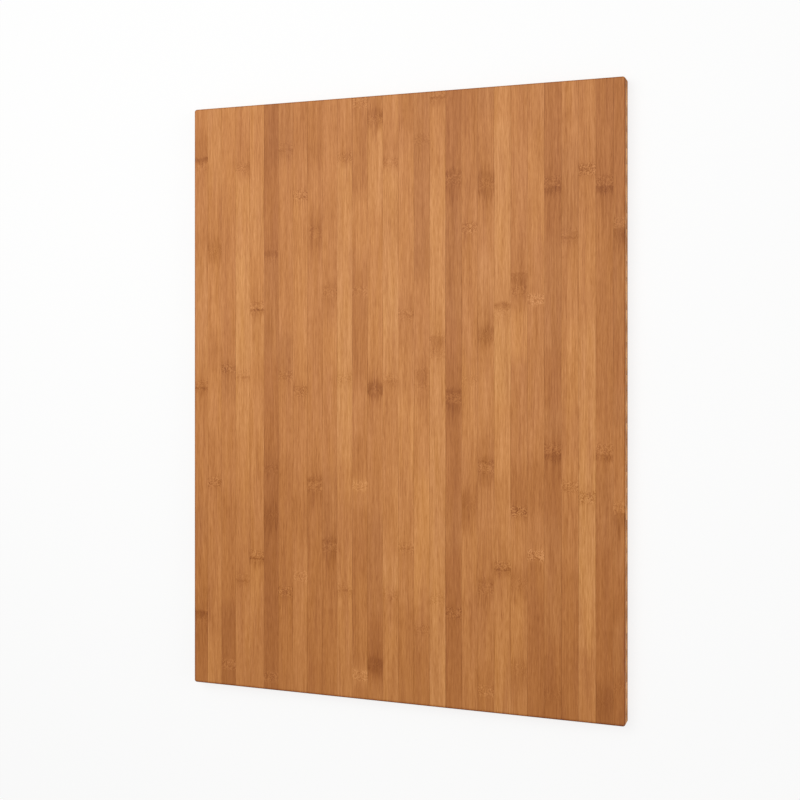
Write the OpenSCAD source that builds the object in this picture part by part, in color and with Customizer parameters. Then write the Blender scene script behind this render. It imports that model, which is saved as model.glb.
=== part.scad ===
// Three-ply bamboo panel: carbonised bamboo strips lie side by side along the
// panel on both faces, and a crosswise core of strips lies between them.
// The panel lies flat, face up. The origin is at the middle of its underside,
// +X is across the face strips, +Y is along them and +Z is up, in millimetres.

/* [Panel] */
// Width of the panel, across its face strips
panel_w = 600; // [300:10:1250]
// Length of the panel, along its face strips
panel_l = 800; // [300:10:2500]
// Radius of the four corners, seen from above
corner_r = 3.5; // [2:0.5:8]
// Radius of the sanded arris round each face
arris_r = 1.5; // [0.5:0.1:2]

/* [Plies] */
// Thickness of the face ply
face_t = 5; // [2.5:0.5:8]
// Thickness of the crosswise core
core_t = 10; // [4:0.5:24]
// Thickness of the back ply
back_t = 5; // [2.5:0.5:8]

/* [Strips] */
// Width of a whole strip of the face and the back
strip_w = 21.6; // [15:0.1:30]
// Width of a whole strip of the core
core_strip_w = 19.9; // [15:0.1:30]
// Glue line between two strips that lie side by side
glue_line = 0.1; // [0.05:0.05:0.4]

/* [Trimming] */
// Width trimmed off the first strip of the face
face_trim = 0.6; // [0:0.1:10]
// Width trimmed off the first strip of the core
core_trim = 7; // [0:0.1:10]
// Width trimmed off the first strip of the back
back_trim = 4.6; // [0:0.1:10]

/* [Tones] */
// Colour of most strips
mid_tone = "#be7c42"; // [#be7c42:carbonised, #d9b47c:natural]
// Colour of the paler strips
pale_tone = "#ca894a"; // [#ca894a:carbonised, #e3c493:natural]
// Colour of the darker strips
dark_tone = "#ad6c38"; // [#ad6c38:carbonised, #caa167:natural]
// Colour of the strip ends that show on the edges
end_tone = "#a97a50"; // [#a97a50:carbonised, #c9a878:natural]

/* [Hidden] */
// Face strips, counted from the left, that the press left darker or paler
DARK_STRIPS = [6, 18, 24, 27, 28];
PALE_STRIPS = [4, 11, 14, 17, 21, 23, 26];

// How far past the panel the boxes that part the strips reach
clear = 1;
$fn = 96;

// The strips needed to cover a ply that is this wide, after the first is trimmed
function strip_count(across, width, trim) = ceil((across + trim) / (width + glue_line));
// Where strip i starts, from the ply's left or lower edge
function strip_start(i, width, trim) = (i - 1) * (width + glue_line) - trim;
function strip_tone(i) =
    len(search(i, DARK_STRIPS)) > 0 ? dark_tone
    : len(search(i, PALE_STRIPS)) > 0 ? pale_tone
    : mid_tone;
function face_name(i) = str("face_strip_", i < 10 ? "0" : "", i);

face_count = strip_count(panel_w, strip_w, face_trim);
back_count = strip_count(panel_w, strip_w, back_trim);
core_count = strip_count(panel_l, core_strip_w, core_trim);
face_z = back_t + core_t;

// Section through a ply's edge: from the inside out to x = reach, its top arris eased
module edge_profile(reach, t, ease) {
    square([reach, t - ease]);
    if (ease > 0) {
        translate([0, t - ease]) square([reach - ease, ease]);
        translate([reach - ease, t - ease]) intersection() {
            circle(ease);
            square(ease);
        }
    }
}

// One long side of a ply, from corner to corner, as long as run, with its edge towards +X
module side_run(run, t, ease) {
    rotate([90, 0, 0]) linear_extrude(run, center = true) edge_profile(corner_r, t, ease);
}

// A whole ply before it is parted into strips: a field, four sides and four turned corners
module ply(t, ease) {
    field = [panel_w - 2 * corner_r, panel_l - 2 * corner_r];
    translate([-field.x / 2, -field.y / 2, 0]) cube([field.x, field.y, t]);
    for (turn = [0, 180]) {
        rotate(turn) translate([field.x / 2, 0, 0]) side_run(field.y, t, ease);
        rotate(turn + 90) translate([field.y / 2, 0, 0]) side_run(field.x, t, ease);
    }
    for (x = [0, 1], y = [0, 1])
        mirror([x, 0, 0]) mirror([0, y, 0])
            translate([field.x / 2, field.y / 2, 0])
                rotate_extrude(angle = 90) edge_profile(corner_r, t, ease);
}

// Boxes as wide as the strips from first to last, side by side along +X
module strip_boxes(first, last, across, run, t, width, trim) {
    for (i = [first:last])
        translate([strip_start(i, width, trim) - across / 2, -run / 2 - clear, -clear])
            cube([width, run + 2 * clear, t + 2 * clear]);
}

module face_strip(i) {
    color(strip_tone(i)) translate([0, 0, face_z]) intersection() {
        ply(face_t, arris_r);
        strip_boxes(i, i, panel_w, panel_l, face_t, strip_w, face_trim);
    }
}

module core_strips() {
    color(end_tone) translate([0, 0, back_t]) intersection() {
        ply(core_t, 0);
        rotate(90) strip_boxes(1, core_count, panel_l, panel_w, core_t, core_strip_w, core_trim);
    }
}

// The back ply is a ply turned over, so that its eased arris is underneath
module back_strips() {
    color(mid_tone) translate([0, 0, back_t]) mirror([0, 0, 1]) intersection() {
        ply(back_t, arris_r);
        strip_boxes(1, back_count, panel_w, panel_l, back_t, strip_w, back_trim);
    }
}

for (i = [1:face_count])
    face_strip(i);
core_strips();
back_strips();
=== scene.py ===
# %% [markdown]
# # A bamboo panel, dressed in Blender
# The object is a board of pressed bamboo. Long strips lie side by side on its face and on its
# back, and a core of strips lies crosswise between them. Its shape is already finished as a CAD
# model, so this lesson adds what the model lacks: the figure of the bamboo, light and a camera.

# %% Load the model
import math
import bpy
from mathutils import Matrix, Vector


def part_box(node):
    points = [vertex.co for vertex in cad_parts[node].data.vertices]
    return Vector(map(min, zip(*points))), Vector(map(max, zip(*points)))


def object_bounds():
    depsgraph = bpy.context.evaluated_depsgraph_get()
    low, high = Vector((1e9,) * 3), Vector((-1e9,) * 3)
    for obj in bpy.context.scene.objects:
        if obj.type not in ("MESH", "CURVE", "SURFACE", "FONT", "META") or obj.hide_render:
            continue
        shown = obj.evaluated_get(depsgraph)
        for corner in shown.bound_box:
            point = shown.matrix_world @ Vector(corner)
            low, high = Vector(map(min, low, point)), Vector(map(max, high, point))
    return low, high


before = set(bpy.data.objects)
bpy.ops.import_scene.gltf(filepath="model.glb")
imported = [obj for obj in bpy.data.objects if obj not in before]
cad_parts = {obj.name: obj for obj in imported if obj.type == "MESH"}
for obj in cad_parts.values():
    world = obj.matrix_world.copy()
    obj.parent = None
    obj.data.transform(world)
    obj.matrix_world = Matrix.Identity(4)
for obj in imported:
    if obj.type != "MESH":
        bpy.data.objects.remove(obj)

cad_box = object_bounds()
low_corner, high_corner = cad_box
face_strips = sorted(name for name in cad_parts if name.startswith("face_strip"))
print("pieces:", len(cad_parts), "of which face strips:", len(face_strips))
print("box in metres:", low_corner, high_corner)

# %% [markdown]
# A product photograph is usually taken from a little to one side, so that the panel's thickness
# shows. The camera could be found by trial, but the straight edges of the face give it exactly:
# the upright edges stay parallel, which means that the camera is level with them and only turned
# round the panel's long axis. The picture's centre is then shifted a little, as with a view camera.

# %% Place the camera
CAMERA_PLACE = (0.5408, 0.0582, 1.5019)
CAMERA_TURN = math.radians(19.875)
LENS = 54.04
SENSOR = 36
SHIFT_RIGHT = 0.0005
SHIFT_UP = -0.0573

bpy.ops.object.select_all(action="DESELECT")
bpy.ops.object.camera_add(location=CAMERA_PLACE, rotation=(0, CAMERA_TURN, 0))
camera = bpy.context.object
camera.name = "product_camera"
camera.data.lens = LENS
camera.data.sensor_width = SENSOR
camera.data.shift_x = SHIFT_RIGHT
camera.data.shift_y = SHIFT_UP
bpy.context.scene.camera = camera
print("camera at", tuple(camera.location), "with a lens of", LENS, "mm")

# %% [markdown]
# Every finish below is a small tree of nodes, and the same few moves come back all the time: add a
# node, set it, join it to the one before. A few helpers do that, so that the cells can read like
# a recipe. Colours are written as they look on screen, and are turned into Blender's linear light.

# %% Helpers for colours and nodes
WHITE = (1, 1, 1, 1)
NODES_IN_A_COLUMN = 8
COLUMN_STEP = 220
ROW_STEP = 180


def colour(text):
    """The linear red, green, blue and alpha of a colour written as #rrggbb, by the sRGB curve."""
    parts = [int(text[place:place + 2], 16) / 255 for place in (1, 3, 5)]
    return [part / 12.92 if part <= 0.04045 else ((part + 0.055) / 1.055) ** 2.4 for part in parts] + [1.0]


def add(tree, kind, label, options=None, **inputs):
    """Add a node. An input's name is written with _ for a space, and a number stands as _0, _1."""
    node = tree.nodes.new("ShaderNode" + kind)
    node.label = label
    for option, value in (options or {}).items():
        setattr(node, option, value)
    for name, value in inputs.items():
        socket = node.inputs[int(name[1:])] if name[1:].isdigit() else node.inputs[name.replace("_", " ")]
        if isinstance(value, bpy.types.NodeSocket):
            tree.links.new(value, socket)
        else:
            socket.default_value = value
    return node


def calc(tree, operation, first, second=0.0):
    """One step of arithmetic between sockets or numbers."""
    return add(tree, "Math", operation.lower(), {"operation": operation}, _0=first, _1=second).outputs[0]


def lay_out(tree):
    """Put the nodes in columns, so that the tree can be looked at in the editor."""
    for number, node in enumerate(tree.nodes):
        column, row = divmod(number, NODES_IN_A_COLUMN)
        node.location = (COLUMN_STEP * column, -ROW_STEP * row)


print("middle grey in linear light:", [round(part, 3) for part in colour("#808080")])

# %% [markdown]
# The panel rests on a plain pale floor. The floor could be white in itself, but then the light on
# it would have to be very even. Instead it mixes a white surface, which takes the shadow, with a
# little plain white that only the camera and mirror-like rays see. The sky round it does the same,
# as bright as the far floor, and the floor is so large that its end can't be told from the sky.

# %% The floor and the sky
FLOOR_SIZE = 80.0
FLOOR_WHITE = "#fafaf9"
FLOOR_GLOW = 0.8
SKY_LIGHT = 0.4
SKY_SEEN = 0.88

bpy.ops.object.select_all(action="DESELECT")
bpy.ops.mesh.primitive_plane_add(size=FLOOR_SIZE, location=(0, 0, 0))
floor = bpy.context.object
floor.name = "studio_floor"


def seen_directly(tree):
    """1 for a ray that comes from the camera or from a gloss, and 0 for light that bounces."""
    path = add(tree, "LightPath", "kind of ray")
    either = calc(tree, "MAXIMUM", path.outputs["Is Camera Ray"], path.outputs["Is Glossy Ray"])
    return calc(tree, "MAXIMUM", either, path.outputs["Is Transmission Ray"])


floor_paint = bpy.data.materials.new("pale_floor")
floor_paint.use_nodes = True
tree = floor_paint.node_tree
tree.nodes.clear()
surface = add(tree, "BsdfDiffuse", "surface", Color=colour(FLOOR_WHITE))
glow = add(tree, "Emission", "plain white", Color=WHITE, Strength=1.0)
share = calc(tree, "MULTIPLY", seen_directly(tree), FLOOR_GLOW)
both = add(tree, "MixShader", "surface and white", Fac=share, _1=surface.outputs[0], _2=glow.outputs[0])
add(tree, "OutputMaterial", "output", Surface=both.outputs[0])
lay_out(tree)
floor.data.materials.append(floor_paint)

world = bpy.data.worlds.new("studio_sky")
bpy.context.scene.world = world
world.use_nodes = True
tree = world.node_tree
tree.nodes.clear()
lighting = add(tree, "Background", "light", Color=WHITE, Strength=SKY_LIGHT)
backdrop = add(tree, "Background", "backdrop", Color=WHITE, Strength=SKY_SEEN)
direct = seen_directly(tree)
both = add(tree, "MixShader", "either", Fac=direct, _1=lighting.outputs[0], _2=backdrop.outputs[0])
add(tree, "OutputWorld", "output", Surface=both.outputs[0])
lay_out(tree)
print("floor of", FLOOR_SIZE, "m, sky at", SKY_LIGHT)

# %% [markdown]
# Soft boxes are large lamps close by. The main one hangs over the head of the panel, so the face
# grows a little darker and richer in colour towards its foot. A second one, further off on the
# right, lights the thin side, where the ends of the core strips show. It is large and stands well
# back, so that it leaves no bright patch on the floor.

# %% The lamps
def soft_box(name, place, aim, size, power):
    """A square lamp at a place, turned towards a point."""
    bpy.ops.object.select_all(action="DESELECT")
    bpy.ops.object.light_add(type="AREA", location=place)
    lamp = bpy.context.object
    lamp.name = name
    lamp.data.size = size
    lamp.data.energy = power
    towards = [end - start for start, end in zip(place, aim)]
    tilt = math.atan2(math.hypot(towards[0], towards[1]), -towards[2])
    turn = math.atan2(towards[1], towards[0]) - math.pi / 2
    lamp.rotation_euler = (tilt, 0, turn)
    print(name, "at", place, "with", power, "W")


soft_box("head_soft_box", place=(-0.4, 0.55, 1.6), aim=(0.0, 0.2, 0.0), size=1.5, power=18.6)
soft_box("side_soft_box", place=(3.6, 0.3, 1.3), aim=(0.3, 0.0, 0.0), size=2.2, power=40)

# %% [markdown]
# ## The figure of a bamboo strip
# A strip is split from the wall of a cane, so its fibres run straight along it, and every thirty
# centimetres or so it crosses a node, where the fibres tangle. An image of real bamboo would show
# this too, but it would repeat and blur. A figure made of noise can be stretched along the grain
# in true millimetres, so each strip gets its own and it stays sharp at any distance.
#
# Two moves make most of it. A noise has a grain, which is the width and the length of its spots,
# and often a swing, which is how much it changes things. A fade has a start and an end, and a value
# before and after them.

# %% Helpers for groups and noise
def new_group(name, inputs, outputs):
    """A node group with number sockets, and its two end nodes."""
    group = bpy.data.node_groups.new(name, "ShaderNodeTree")
    for label in inputs:
        group.interface.new_socket(label, in_out="INPUT", socket_type="NodeSocketFloat")
    for label in outputs:
        group.interface.new_socket(label, in_out="OUTPUT", socket_type="NodeSocketFloat")
    return group, group.nodes.new("NodeGroupInput").outputs, group.nodes.new("NodeGroupOutput").inputs


def stretched_noise(tree, label, across, along, seed, grain, detail=1.0, swirl=0.0):
    """Noise whose grain has a width across and a length along, both in millimetres."""
    width, length = grain
    place = add(tree, "CombineXYZ", label + " place", X=calc(tree, "DIVIDE", across, width),
                Y=calc(tree, "DIVIDE", along, length), Z=seed)
    noise = add(tree, "TexNoise", label, Vector=place.outputs[0], Scale=1.0,
                Detail=detail, Distortion=swirl)
    return noise.outputs["Fac"]


def swing(tree, value, amount):
    """Turn a number between 0 and 1 into a swing of plus or minus half the amount."""
    return calc(tree, "MULTIPLY", calc(tree, "SUBTRACT", value, 0.5), amount)


def swinging_noise(tree, label, across, along, seed, grain_and_swing, detail=1.0):
    """Noise round nought, from the width and the length of its grain and from its swing."""
    *grain, amount = grain_and_swing
    return swing(tree, stretched_noise(tree, label, across, along, seed, grain, detail), amount)


def fade(tree, value, start, end, first=0.0, last=1.0):
    """Go smoothly from the first value to the last as the value goes from start to end."""
    smooth = {"interpolation_type": "SMOOTHSTEP"}
    limits = {"From_Min": start, "From_Max": end, "To_Min": first, "To_Max": last}
    return add(tree, "MapRange", "fade", smooth, Value=value, **limits).outputs[0]


print("helpers for groups and noise are ready")

# %% [markdown]
# The group below draws one strip. Between the nodes it lays three sizes of streaks over each other,
# because fibres, fibre bundles and the wide bands of a cane's wall all run side by side. None of
# them is quite straight, so the place that they are read from drifts a little along the strip, and
# tangles close to a node. A few of the finest fibres are dark flecks.

# %% Fibres between the nodes
FINE_FIBRE = (0.9, 13.0, 0.54)
STREAK = (2.0, 75.0, 0.46)
WIDE_BAND = (7.0, 110.0, 0.30)
FINE_DETAIL = 2.0
DRIFT = (60.0, 240.0, 2.0)
TANGLE = (4.0, 3.0, 7.0)
TANGLE_FADE = (1.0, 13.0, 1.0, 0.0)
FLECK_GRAIN = (0.8, 12.0)
FLECK_FADE = (0.60, 0.72, 0.0, 0.12)
WARMTH_SWING = (9.0, 90.0, 1.0)

strip_group, given, made = new_group(
    "bamboo_strip_figure",
    ("Across", "Along", "Seed", "Node distance", "Dark", "Line", "Curls",
     "Up", "Down", "Curls at", "Paler"),
    ("Shade", "Warmth", "Depth"))
tree = strip_group
across = given["Across"]
along = given["Along"]
seed = given["Seed"]
node_distance = given["Node distance"]

near_node = fade(tree, calc(tree, "ABSOLUTE", node_distance), *TANGLE_FADE)
drift = swinging_noise(tree, "drift", across, along, seed, DRIFT)
tangle = swinging_noise(tree, "tangle", across, along, seed, TANGLE)
tangle = calc(tree, "MULTIPLY", tangle, near_node)
fibre_across = calc(tree, "ADD", calc(tree, "ADD", across, drift), tangle)

fine_fibres = swinging_noise(tree, "fine fibre", fibre_across, along, seed, FINE_FIBRE, FINE_DETAIL)
shade = calc(tree, "ADD", 1.0, fine_fibres)
for label, streaks in {"streak": STREAK, "wide band": WIDE_BAND}.items():
    layer = swinging_noise(tree, label, fibre_across, along, seed, streaks, FINE_DETAIL)
    shade = calc(tree, "ADD", shade, layer)
fleck = stretched_noise(tree, "fleck", fibre_across, along, seed, FLECK_GRAIN)
shade = calc(tree, "SUBTRACT", shade, fade(tree, fleck, *FLECK_FADE))
warmth = swinging_noise(tree, "warmth", across, along, seed, WARMTH_SWING)
tree.links.new(warmth, made["Warmth"])
print("fibres of", FINE_FIBRE[0], "mm, streaks of", STREAK[0], "mm, bands of", WIDE_BAND[0], "mm")

# %% [markdown]
# At a node a few things may show: a stained patch, a band of light and dark curls where the fibres
# cross, and a thin dark line where the sheath of the cane sat. In the photo no two nodes look
# alike, so how much of each there is, how far the patch reaches up and down, and how pale the curls
# are, come from outside as numbers. Each mark is drawn from the distance to the node, which gets a
# bow and a ripple first, because the ring round a cane is never cut quite square.
#
# The patch comes first. Stain creeps along the fibres, so it is ragged at its ends, longest along
# the middle of the strip, and stronger in some strands. A faint smear goes on far beyond it.

# %% The stained patch of a node
RIPPLE = (4.5, 30.0, 4.5)
BEND = (1.0, 70.0, 0.05)
TOOTH_GRAIN = (1.9, 60.0)
TOOTH_FADE = (0.3, 0.7, 0.65, 1.35)
CONE_FADE = (2.0, 11.0, 1.2, 0.75)
SOFT_END = 0.3
STRAND_GRAIN = (1.5, 14.0)
STRAND_FADE = (0.32, 0.62, 0.55, 1.25)
SMEAR_FADE = (6.0, 65.0, 1.0, 0.0)

ripple = swinging_noise(tree, "ripple", across, along, seed, RIPPLE)
bend = swinging_noise(tree, "bend", 0.0, along, seed, BEND, 0.0)
bow = calc(tree, "MULTIPLY", calc(tree, "MULTIPLY", across, across), bend)
level = calc(tree, "ADD", calc(tree, "SUBTRACT", node_distance, bow), ripple)
from_level = calc(tree, "ABSOLUTE", level)

tooth = fade(tree, stretched_noise(tree, "tooth", fibre_across, along, seed, TOOTH_GRAIN), *TOOTH_FADE)
cone = fade(tree, calc(tree, "ABSOLUTE", across), *CONE_FADE)
reach = calc(tree, "MULTIPLY", tooth, cone)
upwards = calc(tree, "DIVIDE", level, calc(tree, "MULTIPLY", given["Up"], reach))
downwards = calc(tree, "DIVIDE", level, calc(tree, "MULTIPLY", given["Down"], reach))
patch = fade(tree, upwards, SOFT_END, 1.0, 1.0, 0.0)
patch = calc(tree, "MULTIPLY", patch, fade(tree, downwards, -1.0, -SOFT_END, 0.0, 1.0))
strand = stretched_noise(tree, "strand", fibre_across, along, seed, STRAND_GRAIN)
patch = calc(tree, "MULTIPLY", patch, fade(tree, strand, *STRAND_FADE))
smear = fade(tree, calc(tree, "DIVIDE", from_level, reach), *SMEAR_FADE)
print("patch ragged by teeth of", TOOTH_GRAIN[0], "mm")

# %% [markdown]
# The curls are a band of nearly round noise, swirled by distorting it, since the fibres turn every
# way there. They could be left to the bump alone, but the photo shows them as light and dark, so
# they go into the shade as well. They push the stain aside where they are strong.

# %% The curls of a node
CURL_GRAIN = (3.0, 3.2)
CURL_SWIRL = 1.8
CURL_FADE = (0.36, 0.64, -1.25, 0.45)
CURL_BAND_FADE = (4.0, 10.0, 1.0, 0.0)
STAIN_PUSHED_ASIDE = 0.8

from_curls = calc(tree, "ABSOLUTE", calc(tree, "SUBTRACT", level, given["Curls at"]))
curl_band = fade(tree, from_curls, *CURL_BAND_FADE)
curl_band = calc(tree, "MULTIPLY", curl_band, given["Curls"])
curls = stretched_noise(tree, "curls", across, along, seed, CURL_GRAIN, swirl=CURL_SWIRL)
curls = calc(tree, "ADD", fade(tree, curls, *CURL_FADE), given["Paler"])
curls = calc(tree, "MULTIPLY", curls, curl_band)
pushed_aside = calc(tree, "MULTIPLY", curl_band, STAIN_PUSHED_ASIDE)
patch = calc(tree, "MULTIPLY", patch, calc(tree, "SUBTRACT", 1.0, pushed_aside))
print("curls of about", CURL_GRAIN[0], "mm")

# %% [markdown]
# The line is the finest mark, worn away in places, with a fainter pale one just above it. Then all
# marks are put into the shade, each at its own strength. The line and the curls can also be felt,
# as can the finest fibres, so these three make the depth that the bump is drawn from.

# %% The line of a node, and all marks together
LINE_FADE = (0.5, 2.4)
PALE_LINE_ABOVE = 4.0
PALE_LINE_SHARE = 0.25
WORN_GRAIN = (3.5, 12.0)
WORN_FADE = (0.3, 0.6, 0.3, 1.0)
PATCH_DEPTH = 0.30
SMEAR_DEPTH = 0.12
LINE_DEPTH = 0.22
CURL_DEPTH = 0.24
CURL_RELIEF = 0.3

line = fade(tree, from_level, *LINE_FADE, 1.0, 0.0)
from_pale_line = calc(tree, "ABSOLUTE", calc(tree, "SUBTRACT", level, PALE_LINE_ABOVE))
pale_line = fade(tree, from_pale_line, *LINE_FADE, PALE_LINE_SHARE, 0.0)
worn = fade(tree, stretched_noise(tree, "worn line", across, along, seed, WORN_GRAIN), *WORN_FADE)
line = calc(tree, "MULTIPLY", calc(tree, "SUBTRACT", line, pale_line), worn)
line = calc(tree, "MULTIPLY", line, given["Line"])

stain = calc(tree, "MULTIPLY", patch, PATCH_DEPTH)
stain = calc(tree, "ADD", stain, calc(tree, "MULTIPLY", smear, SMEAR_DEPTH))
shade = calc(tree, "SUBTRACT", shade, calc(tree, "MULTIPLY", stain, given["Dark"]))
shade = calc(tree, "SUBTRACT", shade, calc(tree, "MULTIPLY", line, LINE_DEPTH))
shade = calc(tree, "ADD", shade, calc(tree, "MULTIPLY", curls, CURL_DEPTH))
tree.links.new(shade, made["Shade"])
depth = calc(tree, "ADD", fine_fibres, calc(tree, "MULTIPLY", curls, CURL_RELIEF))
tree.links.new(calc(tree, "SUBTRACT", depth, line), made["Depth"])
lay_out(tree)
print("the strip's figure has", len(tree.nodes), "nodes")

# %% [markdown]
# Where a strip is cut across, the fibres are seen end on, as dark dots in a paler ground. A Voronoi
# pattern puts one dot in each cell, at about the spacing of the bundles in a cane's wall.

# %% A group for the cut ends
DOT_SPACING = 1.1
DOT_FADE = (0.12, 0.42, 0.42, 0.0)
CLOUD = (3.0, 3.0, 0.3)
GROUND = 1.08

end_group, given, made = new_group("bamboo_end_grain", ("Sideways", "Upwards", "Seed"), ("Shade",))
tree = end_group
dot_place = add(tree, "CombineXYZ", "dot place", X=given["Sideways"], Y=given["Upwards"], Z=given["Seed"])
dots = add(tree, "TexVoronoi", "dots", Vector=dot_place.outputs[0], Scale=1 / DOT_SPACING)
dot = fade(tree, dots.outputs["Distance"], *DOT_FADE)
cloud = swinging_noise(tree, "cloud", given["Sideways"], given["Upwards"], given["Seed"],
                       CLOUD, FINE_DETAIL)
ground = calc(tree, "ADD", cloud, GROUND)
tree.links.new(calc(tree, "SUBTRACT", ground, dot), made["Shade"])
lay_out(tree)
print("dots every", DOT_SPACING, "mm on the cut ends")

# %% [markdown]
# The long arrises are eased and sanded. They are drawn darker, partly for the stain of the heat and
# of hands, which is deepest there, and partly as painted shade where the rounded arris turns from
# the light. They are darkest along the foot, where a band of painted shadow is added as well. This
# group measures how far a point is from the nearest arris, from its place alone. It takes the
# panel's size from the model, so it stays true if the model is made again in another size.

# %% A group for the darker arrises
MM = 1000
HALF_WIDTH = high_corner[0] * MM
HALF_LENGTH = high_corner[1] * MM
LENGTH = 2 * HALF_LENGTH
THICKNESS = high_corner[2] * MM
ARRIS_FADE = (0.6, 2.4, 1.0, 0.0)
# darkness of the arrises, part stain and part painted shade, with more painted shade at the foot
DARKER_AT_FOOT = 0.36
DARKER_AT_HEAD = 0.26
FOOT_SHADOW_FADE = (1.0, 4.5, 0.22, 0.0)

arris_group, given, made = new_group("eased_arris", ("X", "Y", "Z"), ("Darker",))
tree = arris_group
from_side = calc(tree, "SUBTRACT", HALF_WIDTH, calc(tree, "ABSOLUTE", given["X"]))
from_end = calc(tree, "SUBTRACT", HALF_LENGTH, calc(tree, "ABSOLUTE", given["Y"]))
from_outline = calc(tree, "MINIMUM", from_side, from_end)
from_face = calc(tree, "MINIMUM", given["Z"], calc(tree, "SUBTRACT", THICKNESS, given["Z"]))
from_arris = calc(tree, "MAXIMUM", from_outline, from_face)
arris = fade(tree, from_arris, *ARRIS_FADE)
above_foot = calc(tree, "ADD", given["Y"], HALF_LENGTH)
# stain and painted shade along every arris, heavier towards the foot
stain = calc(tree, "MULTIPLY", arris, fade(tree, above_foot, 0.0, LENGTH, DARKER_AT_FOOT, DARKER_AT_HEAD))
# a band of painted shadow along the foot's arrises
painted_foot_shadow = fade(tree, calc(tree, "MAXIMUM", above_foot, from_face), *FOOT_SHADOW_FADE)
tree.links.new(calc(tree, "ADD", stain, painted_foot_shadow), made["Darker"])
lay_out(tree)
print("panel of", round(2 * HALF_WIDTH), "x", round(LENGTH), "x", round(THICKNESS), "mm")

# %% [markdown]
# The heat of carbonising turns bamboo the colour of caramel, but not evenly: each strip comes from
# another cane. A few named tones are mixed along and between strips. They were first set, and then
# corrected by measuring how far renders were from the photo. A darker fibre is also a redder one, so
# the shade is raised to another power for each of the three primary colours, instead of being
# multiplied in as grey.

# %% Tones and the shared end of every finish
TONES = {
    "deep": "#a86630",
    "dark": "#b06d35",
    "ruddy": "#b6743c",
    "brown": "#b67339",
    "mid": "#be7b41",
    "rosy": "#c38147",
    "warm": "#c38044",
    "pale": "#c9874b",
    "golden": "#c98648",
    "straw": "#cc8b4e",
}
GREEN_POWER = 1.45
BLUE_POWER = 2.4
WARMTH = 0.3
SATIN = 0.5
SAWN = 0.8
DULLER_WHERE_DARK = 0.12
FIBRE_BUMP = 0.25
FIBRE_HEIGHT = 0.0001
SPECULAR = 0.25


def finish_from_shade(tree, tone, shade, warmth, depth, is_end):
    """Tint a tone by a shade. Give the surface its fine fibres and a satin gloss, duller on sawn ends."""
    green = calc(tree, "POWER", shade, GREEN_POWER)
    blue = calc(tree, "POWER", shade, BLUE_POWER)
    blue = calc(tree, "SUBTRACT", blue, calc(tree, "MULTIPLY", warmth, WARMTH))
    tint = add(tree, "CombineColor", "tint", Red=shade, Green=green, Blue=blue).outputs[0]
    multiply = {"data_type": "RGBA", "blend_type": "MULTIPLY"}
    mixed = add(tree, "Mix", "tone and tint", multiply, _0=1.0, _6=tone, _7=tint)
    smoother = calc(tree, "MULTIPLY", shade, DULLER_WHERE_DARK)
    roughness = calc(tree, "SUBTRACT", SATIN + DULLER_WHERE_DARK, smoother)
    roughness = calc(tree, "ADD", roughness, calc(tree, "MULTIPLY", is_end, SAWN - SATIN))
    bump = add(tree, "Bump", "fibres", Strength=FIBRE_BUMP, Distance=FIBRE_HEIGHT, Height=depth)
    lacquer = add(tree, "BsdfPrincipled", "oiled bamboo", Base_Color=mixed.outputs[2],
                  Roughness=roughness, Normal=bump.outputs[0], Specular_IOR_Level=SPECULAR)
    add(tree, "OutputMaterial", "output", Surface=lacquer.outputs[0])
    lay_out(tree)


def new_finish(name):
    """An empty finish, with the place of each point in millimetres and its direction."""
    finish = bpy.data.materials.new(name)
    finish.use_nodes = True
    tree = finish.node_tree
    tree.nodes.clear()
    place = add(tree, "TexCoord", "place")
    in_mm = add(tree, "VectorMath", "in millimetres", {"operation": "SCALE"},
                _0=place.outputs["Object"], Scale=MM)
    xyz = add(tree, "SeparateXYZ", "x, y, z", _0=in_mm.outputs[0]).outputs
    facing = add(tree, "SeparateXYZ", "facing", _0=place.outputs["Normal"]).outputs
    return finish, tree, xyz, facing


def run_group(tree, group, **inputs):
    """Use a node group, with its inputs set or joined."""
    return add(tree, "Group", group.name, {"node_tree": group}, **inputs).outputs


def put_on(name, finish):
    """Give a CAD node its finish."""
    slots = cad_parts[name].data.materials
    slots.clear()
    slots.append(finish)


print("tones:", ", ".join(TONES))
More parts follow.
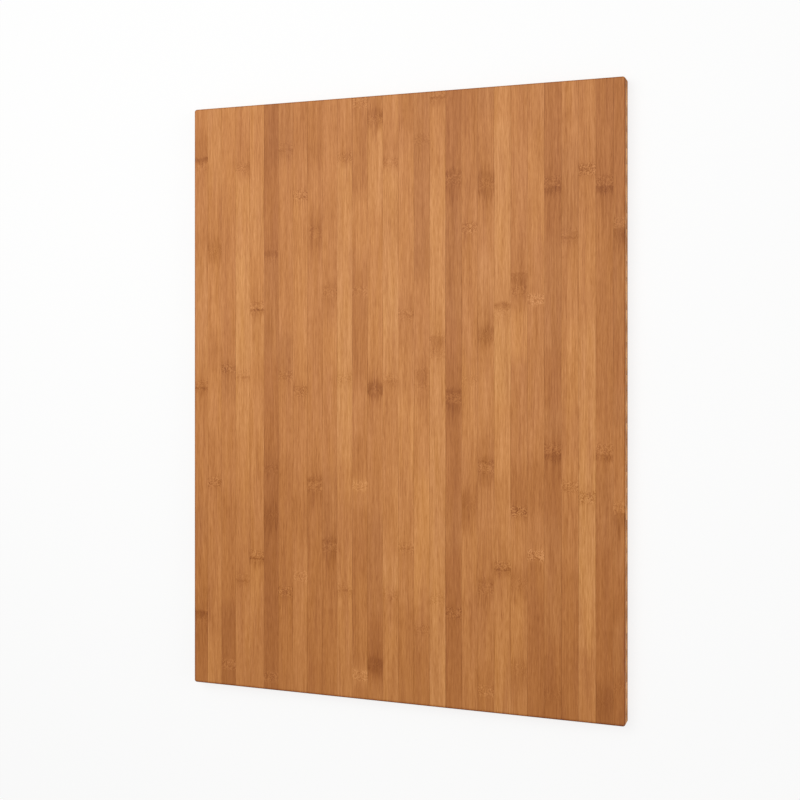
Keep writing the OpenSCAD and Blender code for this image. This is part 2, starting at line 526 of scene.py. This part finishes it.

# %% [markdown]
# ## What each strip looks like
# A fitter who lays such a panel picks each strip from the heap and turns it as it comes, and so
# does this list. For each strip of the face, from left to right, it gives the tones from the foot
# up and the nodes. They were read from the photo, and then corrected by measuring renders against
# it. A number is a height above the foot in millimetres. A node also has a look, in one word, and a
# strength.

# %% The strips of the face, from left to right
FACE_FIGURE = [
    ([(0, "dark"), (100, "brown"), (190, "ruddy"), (250, "mid"), (430, "rosy"), (600, "mid"),
      (735, "brown"), (765, "mid")],
     [(97, "band", 0.9), (411, "ring", 0.9), (729, "band", 0.8)]),
    ([(0, "warm"), (70, "mid"), (350, "warm"), (440, "mid"), (480, "warm"), (610, "mid"), (690, "rosy")],
     [(281, "swirl", 0.9), (601, "smudge", 0.8)]),
    ([(0, "deep"), (112, "brown"), (265, "mid"), (395, "ruddy"), (450, "mid"), (690, "warm")],
     [(29, "fleck", 1.0), (438, "swirl", 0.9)]),
    ([(0, "mid"), (260, "warm"), (345, "pale"), (440, "straw"), (600, "pale"), (700, "mid")],
     [(146, "ring", 0.6), (426, "ring", 0.5), (715, "swirl", 0.5)]),
    ([(0, "mid"), (105, "warm"), (172, "mid"), (300, "warm"), (450, "pale"), (519, "warm"),
      (600, "pale"), (690, "warm")],
     [(178, "ring", 1.4), (519, "ring", 1.3)]),
    ([(0, "deep"), (322, "dark"), (450, "ruddy"), (590, "dark"), (715, "deep")],
     [(18, "fleck", 0.9), (238, "smudge", 0.7), (303, "swirl", 0.5), (596, "band", 0.5)]),
    ([(0, "brown"), (315, "mid"), (430, "ruddy"), (490, "mid"), (720, "ruddy")],
     [(136, "swirl", 0.9), (429, "swirl", 0.6), (735, "ring", 0.6)]),
    ([(0, "mid"), (205, "brown"), (268, "mid"), (420, "warm"), (670, "mid"), (735, "brown")],
     [(158, "fleck", 0.6), (408, "swirl", 0.7), (673, "swirl", 0.9)]),
    ([(0, "dark"), (50, "brown"), (268, "mid"), (590, "brown"), (650, "mid"), (710, "brown")],
     [(288, "belt", 0.8), (627, "belt", 0.35)]),
    ([(0, "brown"), (190, "ruddy"), (300, "mid"), (440, "warm"), (500, "mid")],
     [(207, "belt", 0.8), (548, "belt", 0.5)]),
    ([(0, "warm"), (190, "mid"), (258, "warm"), (310, "pale"), (370, "straw"), (530, "pale"),
      (715, "mid")],
     [(143, "ring", 0.6), (426, "swirl", 0.4), (720, "swirl", 0.5)]),
    ([(0, "brown"), (22, "warm"), (40, "brown"), (160, "dark"), (220, "brown"), (260, "mid"),
      (272, "warm"), (292, "brown"), (350, "mid"), (420, "brown"), (575, "mid"), (600, "warm"),
      (670, "brown")],
     [(32, "fleck", 0.9), (283, "fleck", 0.6), (542, "fleck", 0.5), (792, "fleck", 0.8)]),
    ([(0, "mid"), (26, "dark"), (115, "ruddy"), (245, "mid"), (430, "warm"), (650, "pale"), (765, "mid")],
     [(48, "spot", 1.0), (412, "spot", 1.1), (770, "smudge", 0.9)]),
    ([(0, "warm"), (95, "mid"), (148, "pale"), (185, "warm"), (430, "pale"), (485, "straw"),
      (550, "pale"), (705, "mid"), (740, "warm")],
     [(141, "swirl", 0.3), (422, "ring", 0.6), (711, "swirl", 0.4)]),
    ([(0, "brown"), (125, "mid"), (200, "warm"), (300, "golden"), (405, "warm"),
      (465, "mid"), (540, "warm"), (725, "mid"), (750, "brown")],
     [(205, "swirl", 0.5), (510, "swirl", 0.6)]),
    ([(0, "brown"), (75, "mid"), (122, "warm"), (150, "golden"), (300, "warm"), (390, "mid"),
      (560, "ruddy")],
     [(100, "swirl", 0.4), (436, "block", 0.5), (738, "swirl", 0.4)]),
    ([(0, "pale"), (455, "warm"), (480, "pale"), (700, "warm"), (775, "mid")],
     [(140, "swirl", 0.4), (479, "block", 0.6), (791, "ring", 0.9)]),
    ([(0, "dark"), (205, "ruddy"), (270, "dark"), (500, "ruddy"), (650, "dark")],
     [(124, "swirl", 1.0), (409, "belt", 0.9), (691, "belt", 0.8)]),
    ([(0, "mid"), (150, "warm"), (235, "brown"), (290, "mid"), (345, "warm"), (450, "mid"), (665, "brown")],
     [(266, "smudge", 0.4), (424, "swirl", 0.2), (620, "swirl", 0.8)]),
    ([(0, "brown"), (60, "mid"), (355, "warm"), (475, "rosy"), (585, "mid"), (765, "ruddy")],
     [(27, "fleck", 0.8), (166, "belt", 0.6), (320, "belt", 0.8), (483, "spot", 0.9),
      (677, "smudge", 1.0)]),
    ([(0, "warm"), (300, "golden"), (400, "straw"), (500, "pale"), (755, "warm")],
     [(183, "ring", 1.2), (521, "band", 0.7)]),
    ([(0, "mid"), (70, "warm"), (150, "mid"), (195, "warm"), (258, "brown"), (320, "mid"),
      (450, "golden"), (515, "mid")],
     [(60, "smudge", 0.4), (168, "smudge", 0.5), (259, "swirl", 1.2), (559, "block", 0.8)]),
    ([(0, "dark"), (155, "brown"), (200, "mid"), (255, "brown"), (325, "mid"), (600, "warm"), (740, "mid")],
     [(205, "fleck", 1.2), (527, "fleck", 1.0)]),
    ([(0, "dark"), (100, "ruddy"), (250, "dark"), (352, "ruddy"), (390, "dark"), (460, "ruddy"),
      (600, "dark")],
     [(30, "smudge", 0.3), (332, "collar", 1.0), (667, "collar", 1.0)]),
    ([(0, "dark"), (90, "brown"), (190, "mid"), (275, "warm"), (330, "mid"), (390, "warm"), (500, "mid"),
      (600, "ruddy"), (720, "mid")],
     [(292, "swirl", 0.7), (603, "ring", 0.6)]),
    ([(0, "mid"), (90, "pale"), (150, "straw"), (320, "pale"), (500, "warm"), (620, "mid")],
     [(280, "swirl", 0.9), (688, "swirl", 1.1)]),
    ([(0, "deep"), (50, "dark"), (220, "ruddy"), (310, "mid"), (370, "brown"), (650, "dark")],
     [(28, "smudge", 0.4), (333, "collar", 0.9), (665, "collar", 1.0)]),
    ([(0, "dark"), (60, "ruddy"), (130, "dark"), (190, "ruddy"), (262, "warm"), (280, "mid"),
      (365, "ruddy"), (410, "dark"), (480, "ruddy"), (640, "dark")],
     [(49, "swirl", 0.2), (262, "cuff", 0.7), (612, "cuff", 0.8)]),
]
print("strips described:", len(FACE_FIGURE), "nodes:", sum(len(nodes) for tones, nodes in FACE_FIGURE))

# %% [markdown]
# The looks of a node got names, so that the list above can be read aloud. Each look has seven
# numbers: how much there is of the patch, the line and the curls, how far the patch reaches up and
# down and how high the curls sit, in millimetres, and how pale the curls are.
#
# A colour ramp needn't hold colours. Read along the strip, one ramp gives the tone, and two more
# give the height of the nearest node and these plain numbers. The two are stepped, so each node
# rules half the way to the next. This keeps one small tree per strip, where a chain of comparisons
# would grow very long. A ramp holds values from 0 to 1, so lengths are divided before they go in,
# and the height of the curls, which may lie below the node, is lifted by a half.

# %% Ramps as tables
NODE_LOOKS = {
    "collar": (0.6, 0.2, 0.75, 3.0, 12.0, 8.0, 0.2),
    "belt": (0.6, 0.3, 0.9, 9.0, 40.0, -8.0, 0.3),
    "band": (0.9, 0.2, 0.5, 5.0, 9.0, -10.0, 0.5),
    "block": (0.6, 0.0, 0.65, 4.0, 20.0, -20.0, 0.1),
    "cuff": (0.7, 0.1, 0.85, 3.0, 30.0, 8.0, 0.4),
    "ring": (0.35, 0.8, 0.6, 9.0, 14.0, 5.0, 0.1),
    "swirl": (0.2, 0.1, 1.0, 14.0, 18.0, 0.0, 0.1),
    "fleck": (0.0, 0.1, 1.0, 12.0, 12.0, 0.0, 0.65),
    "spot": (0.65, 0.0, 0.1, 16.0, 18.0, 0.0, 0.0),
    "smudge": (0.6, 0.0, 0.35, 24.0, 30.0, 0.0, 0.0),
}
LONGEST_REACH = 60.0
TONE_BLEND = 12.0


def ramp(tree, label, fraction, stops, stepped):
    """A colour ramp with the given stops, each a place from 0 to 1 and four values."""
    node = add(tree, "ValToRGB", label, Fac=fraction)
    table = node.color_ramp
    table.interpolation = "CONSTANT" if stepped else "LINEAR"
    table.elements.remove(table.elements[1])
    for number, (place, values) in enumerate(stops):
        stop = table.elements.new(place) if number else table.elements[0]
        stop.position = place
        stop.color = values
    return node.outputs


def tone_stops(tones):
    """Each tone holds from its height to the next one's, with a short blend between."""
    ends = [height for height, word in tones[1:]] + [LENGTH + TONE_BLEND]
    stops = []
    for (start, word), end in zip(tones, ends):
        stops.append((max(start + TONE_BLEND, 0) / LENGTH, colour(TONES[word])))
        stops.append((min(end - TONE_BLEND, LENGTH) / LENGTH, colour(TONES[word])))
    return stops


def node_stops(nodes):
    """The stops of two ramps. Each node holds to the middle of the way to its neighbours."""
    amounts = []
    reaches = []
    below = None
    for height, word, strength in nodes:
        start = 0.0 if below is None else (below + height) / 2 / LENGTH
        dark, line, curls, up, down, curls_at, pale = NODE_LOOKS[word]
        amount = [height / LENGTH, dark * strength, line * strength, curls * strength]
        reach = [up / LONGEST_REACH, down / LONGEST_REACH, curls_at / LONGEST_REACH + 0.5, pale]
        amounts.append((start, amount))
        reaches.append((start, reach))
        below = height
    return amounts, reaches


print("looks of a node:", ", ".join(NODE_LOOKS))

# %% [markdown]
# Some steps are the same on the face, the back and the core. Each strip has a glue line at its
# edges, dark in one stretch and hardly seen in the next, and cut ends, which a point knows from the
# way it faces. The strips of the face and the back also have a share of the panel's arrises.

# %% Glue lines, cut ends and arrises
GLUE_LINE_FROM_EDGE = (0.8, 0.2)
GLUE_LINE_GRAIN = (1.0, 130.0)
GLUE_LINE_FADE = (0.35, 0.65, -0.06, 0.13)
CUT_END_FADE = (0.7, 0.95)


def blend_shades(tree, share, first, second):
    """Go from one number to another by a share from 0 to 1."""
    node = add(tree, "Mix", "one or the other", {"data_type": "FLOAT"}, _0=share, _2=first, _3=second)
    return node.outputs[0]


def strip_body(tree, across, along, half_width, seed, node):
    """The figure of a strip, darker at its glue lines: its shade, its warmth and its depth."""
    figure = run_group(tree, strip_group, Across=across, Along=along, Seed=seed, **node)
    first, last = (half_width - distance for distance in GLUE_LINE_FROM_EDGE)
    glue_line = fade(tree, calc(tree, "ABSOLUTE", across), first, last)
    change = stretched_noise(tree, "glue line", 0.0, along, seed, GLUE_LINE_GRAIN, 0.0)
    change = fade(tree, change, *GLUE_LINE_FADE)
    shade = calc(tree, "SUBTRACT", figure["Shade"], calc(tree, "MULTIPLY", glue_line, change))
    return shade, figure["Warmth"], figure["Depth"]


def cut_end(tree, across, xyz, seed, facing_out):
    """The shade of a strip's cut end, and a share that is 1 on the end and 0 along the strip."""
    shade = run_group(tree, end_group, Sideways=across, Upwards=xyz["Z"], Seed=seed)["Shade"]
    return shade, fade(tree, calc(tree, "ABSOLUTE", facing_out), *CUT_END_FADE)


def outer_strip(tree, xyz, facing, tone, across, height, half_width, seed, node):
    """The finish of a strip of the face or of the back."""
    body, warmth, depth = strip_body(tree, across, height, half_width, seed, node)
    cut, is_end = cut_end(tree, across, xyz, seed, facing["Y"])
    shade = blend_shades(tree, is_end, body, cut)
    darker = run_group(tree, arris_group, X=xyz["X"], Y=xyz["Y"], Z=xyz["Z"])["Darker"]
    finish_from_shade(tree, tone, calc(tree, "SUBTRACT", shade, darker), warmth, depth, is_end)


print("glue lines start", GLUE_LINE_FROM_EDGE[0], "mm from a strip's edge")

# %% [markdown]
# Now the strips get their finishes. All of them share the groups above, and differ only in their
# ramps and in the seed of their noise. The model keeps each strip as an object of its own, so the
# place across the strip can be measured from the strip's own middle, and the thin glue line falls
# where the strip really ends.

# %% Finish the face strips
FACE_SEED_STEP = 3.7


def face_finish(name, number, tones, nodes):
    """The finish of one strip of the face."""
    low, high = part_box(name)
    middle = (low[0] + high[0]) / 2 * MM
    half_width = (high[0] - low[0]) / 2 * MM
    finish, tree, xyz, facing = new_finish(name + "_bamboo")
    across = calc(tree, "SUBTRACT", xyz["X"], middle)
    height = calc(tree, "ADD", xyz["Y"], HALF_LENGTH)
    fraction = calc(tree, "DIVIDE", height, LENGTH)
    tone = ramp(tree, "tones from the foot up", fraction, tone_stops(tones), False)["Color"]
    amounts, reaches = node_stops(nodes)
    amounts = ramp(tree, "nearest node", fraction, amounts, True)
    reaches = ramp(tree, "its reach", fraction, reaches, True)
    nearest, dark, line = add(tree, "SeparateColor", "its amounts", Color=amounts["Color"]).outputs
    up, down, curls_at = add(tree, "SeparateColor", "its reach in parts", Color=reaches["Color"]).outputs
    node = {
        "Node_distance": calc(tree, "SUBTRACT", height, calc(tree, "MULTIPLY", nearest, LENGTH)),
        "Dark": dark,
        "Line": line,
        "Curls": amounts["Alpha"],
        "Up": calc(tree, "MULTIPLY", up, LONGEST_REACH),
        "Down": calc(tree, "MULTIPLY", down, LONGEST_REACH),
        "Curls_at": swing(tree, curls_at, LONGEST_REACH),
        "Paler": reaches["Alpha"],
    }
    outer_strip(tree, xyz, facing, tone, across, height, half_width, FACE_SEED_STEP * number, node)
    return finish


for number, (name, (tones, nodes)) in enumerate(zip(face_strips, FACE_FIGURE), start=1):
    put_on(name, face_finish(name, number, tones, nodes))
print("finished", len(face_strips), "face strips")

# %% [markdown]
# The strips of the back lie in one object, so their finish has to find out by itself which strip a
# point is on. Dividing the place across the panel by the strips' spacing gives the strip's number,
# and white noise read at that number gives each strip a tone, a spacing of nodes and a start of its
# own. A draw has a salt, which keeps it apart from the other draws, and a least and a most. The
# back follows the habits of the face.

# %% Draws for strips that share an object
NODE_GAP = (7.1, 270.0, 345.0)
FIRST_NODE = (3.9, 0.0, 300.0)
NODE_KEY_STEP = 37.0
NODE_DRAWS = {
    "Dark": (11.0, 0.0, 0.65),
    "Line": (13.0, -0.3, 0.7),
    "Curls": (17.0, 0.0, 1.0),
    "Up": (19.0, 3.0, 22.0),
    "Down": (23.0, 8.0, 42.0),
    "Curls_at": (29.0, -14.0, 10.0),
    "Paler": (31.0, 0.0, 0.5),
}


def chance(tree, number, salt):
    """A steady random number between 0 and 1 for each strip's number."""
    key = calc(tree, "ADD", number, salt)
    return add(tree, "TexWhiteNoise", "chance", {"noise_dimensions": "1D"}, W=key).outputs["Value"]


def drawn(tree, number, salt, least, most):
    """A steady random number between two limits for each strip's number."""
    share = chance(tree, number, salt)
    return add(tree, "MapRange", "drawn", Value=share, To_Min=least, To_Max=most).outputs[0]


def numbered_strips(tree, across, first_edge, spacing):
    """Which strip a place is on, and how far it is from the middle of that strip."""
    steps = calc(tree, "DIVIDE", calc(tree, "SUBTRACT", across, first_edge), spacing)
    number = calc(tree, "FLOOR", steps)
    part = calc(tree, "SUBTRACT", steps, number)
    from_middle = calc(tree, "MULTIPLY", calc(tree, "SUBTRACT", part, 0.5), spacing)
    return number, from_middle


def repeating_nodes(tree, number, along):
    """Nodes of many looks, about 300 mm apart on each strip."""
    gap = drawn(tree, number, *NODE_GAP)
    start = drawn(tree, number, *FIRST_NODE)
    turns = calc(tree, "DIVIDE", calc(tree, "ADD", along, start), gap)
    nearest = calc(tree, "ROUND", turns)
    which = calc(tree, "ADD", number, calc(tree, "MULTIPLY", nearest, NODE_KEY_STEP))
    node = {"Node_distance": calc(tree, "MULTIPLY", calc(tree, "SUBTRACT", turns, nearest), gap)}
    for part, draw in NODE_DRAWS.items():
        node[part] = drawn(tree, which, *draw)
    return node


print("draws for each hidden node:", ", ".join(NODE_DRAWS))

# %% [markdown]
# Each strip of the back takes its tone from a ramp with eight steps. Its ends and its arrises are
# made as on the face. The first strip is trimmed, so the strips are counted from where its edge
# would be.

# %% Finish the strips of the back
STRIP_SPACING = 21.7
BACK_TRIM = 4.6
BACK_SEED_STEP = 3.1
BACK_FIRST_SEED = 200.0
BACK_TONES = ("mid", "ruddy", "warm", "brown", "golden", "dark", "mid", "pale")
TONE_SALT = 0.3

back_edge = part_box("back_strips")[0][0] * MM - BACK_TRIM
finish, tree, xyz, facing = new_finish("back_bamboo")
number, across = numbered_strips(tree, xyz["X"], back_edge, STRIP_SPACING)
height = calc(tree, "ADD", xyz["Y"], HALF_LENGTH)
seed = calc(tree, "ADD", calc(tree, "MULTIPLY", number, BACK_SEED_STEP), BACK_FIRST_SEED)
stops = [(place / len(BACK_TONES), colour(TONES[word])) for place, word in enumerate(BACK_TONES)]
tone = ramp(tree, "tone of the strip", chance(tree, number, TONE_SALT), stops, True)["Color"]
node = repeating_nodes(tree, number, height)
outer_strip(tree, xyz, facing, tone, across, height, STRIP_SPACING / 2, seed, node)
put_on("back_strips", finish)
print("finished the back with", len(tree.nodes), "nodes")

# %% [markdown]
# The core shows only on the panel's four sides. Its strips run across the panel, so the two long
# sides show them end on, as pale and dark dashes side by side, and the head and the foot show one
# strip's long side. The wall of a cane is dense and dark outside and pale inside, so each end goes
# from dark to pale, and strips that were turned over make the dashes uneven.

# %% Finish the crosswise core
CORE_SPACING = 20.0
CORE_TRIM = 7.0
CORE_SEED_STEP = 5.3
CORE_FIRST_SEED = 500.0
TURNED_SALT = 2.2
TURNED_SHARE = 0.35
UNEVEN_SALT = 5.5
UNEVEN = 0.5
WALL_FADE = (-0.3, 0.3, 0.72, 1.12)
STRIP_CHANGE = (8.8, 0.9, 1.08)
CORE_GLUE_LINE = 0.7
CORE_GLUE_DARK = 0.2
CUT_TONE = "#c0874a"

finish, tree, xyz, facing = new_finish("core_bamboo")
number, across = numbered_strips(tree, xyz["Y"], -HALF_LENGTH - CORE_TRIM, CORE_SPACING)
seed = calc(tree, "ADD", calc(tree, "MULTIPLY", number, CORE_SEED_STEP), CORE_FIRST_SEED)
from_middle = calc(tree, "SUBTRACT", xyz["Z"], THICKNESS / 2)
node = repeating_nodes(tree, number, xyz["X"])

# The half width given here is more than the strip's height, so its long side gets no glue line
body, warmth, depth = strip_body(tree, from_middle, xyz["X"], CORE_SPACING, seed, node)
cut, is_end = cut_end(tree, across, xyz, seed, facing["X"])

# -1 for a strip that was turned over, and 1 for the others
turned = swing(tree, calc(tree, "GREATER_THAN", chance(tree, number, TURNED_SALT), TURNED_SHARE), 2.0)
side = calc(tree, "MULTIPLY", calc(tree, "DIVIDE", across, CORE_SPACING), turned)
uneven = swing(tree, chance(tree, number, UNEVEN_SALT), UNEVEN)
wall = fade(tree, calc(tree, "ADD", side, uneven), *WALL_FADE)
wall = calc(tree, "MULTIPLY", wall, drawn(tree, number, *STRIP_CHANGE))
half = CORE_SPACING / 2
glue_line = fade(tree, calc(tree, "ABSOLUTE", across), half - CORE_GLUE_LINE, half, 0.0, CORE_GLUE_DARK)
cut = calc(tree, "SUBTRACT", calc(tree, "MULTIPLY", cut, wall), glue_line)
tone = add(tree, "Mix", "body or cut end", {"data_type": "RGBA"}, _0=is_end,
           _6=colour(TONES["mid"]), _7=colour(CUT_TONE)).outputs[2]
finish_from_shade(tree, tone, blend_shades(tree, is_end, body, cut), warmth, depth, is_end)
put_on("core_strips", finish)
print("finished the core with", len(tree.nodes), "nodes")

# %% [markdown]
# The picture is left in Blender's Standard view, which shows a colour as it was written.

# %% The view, and the end
bpy.context.scene.view_settings.view_transform = "Standard"
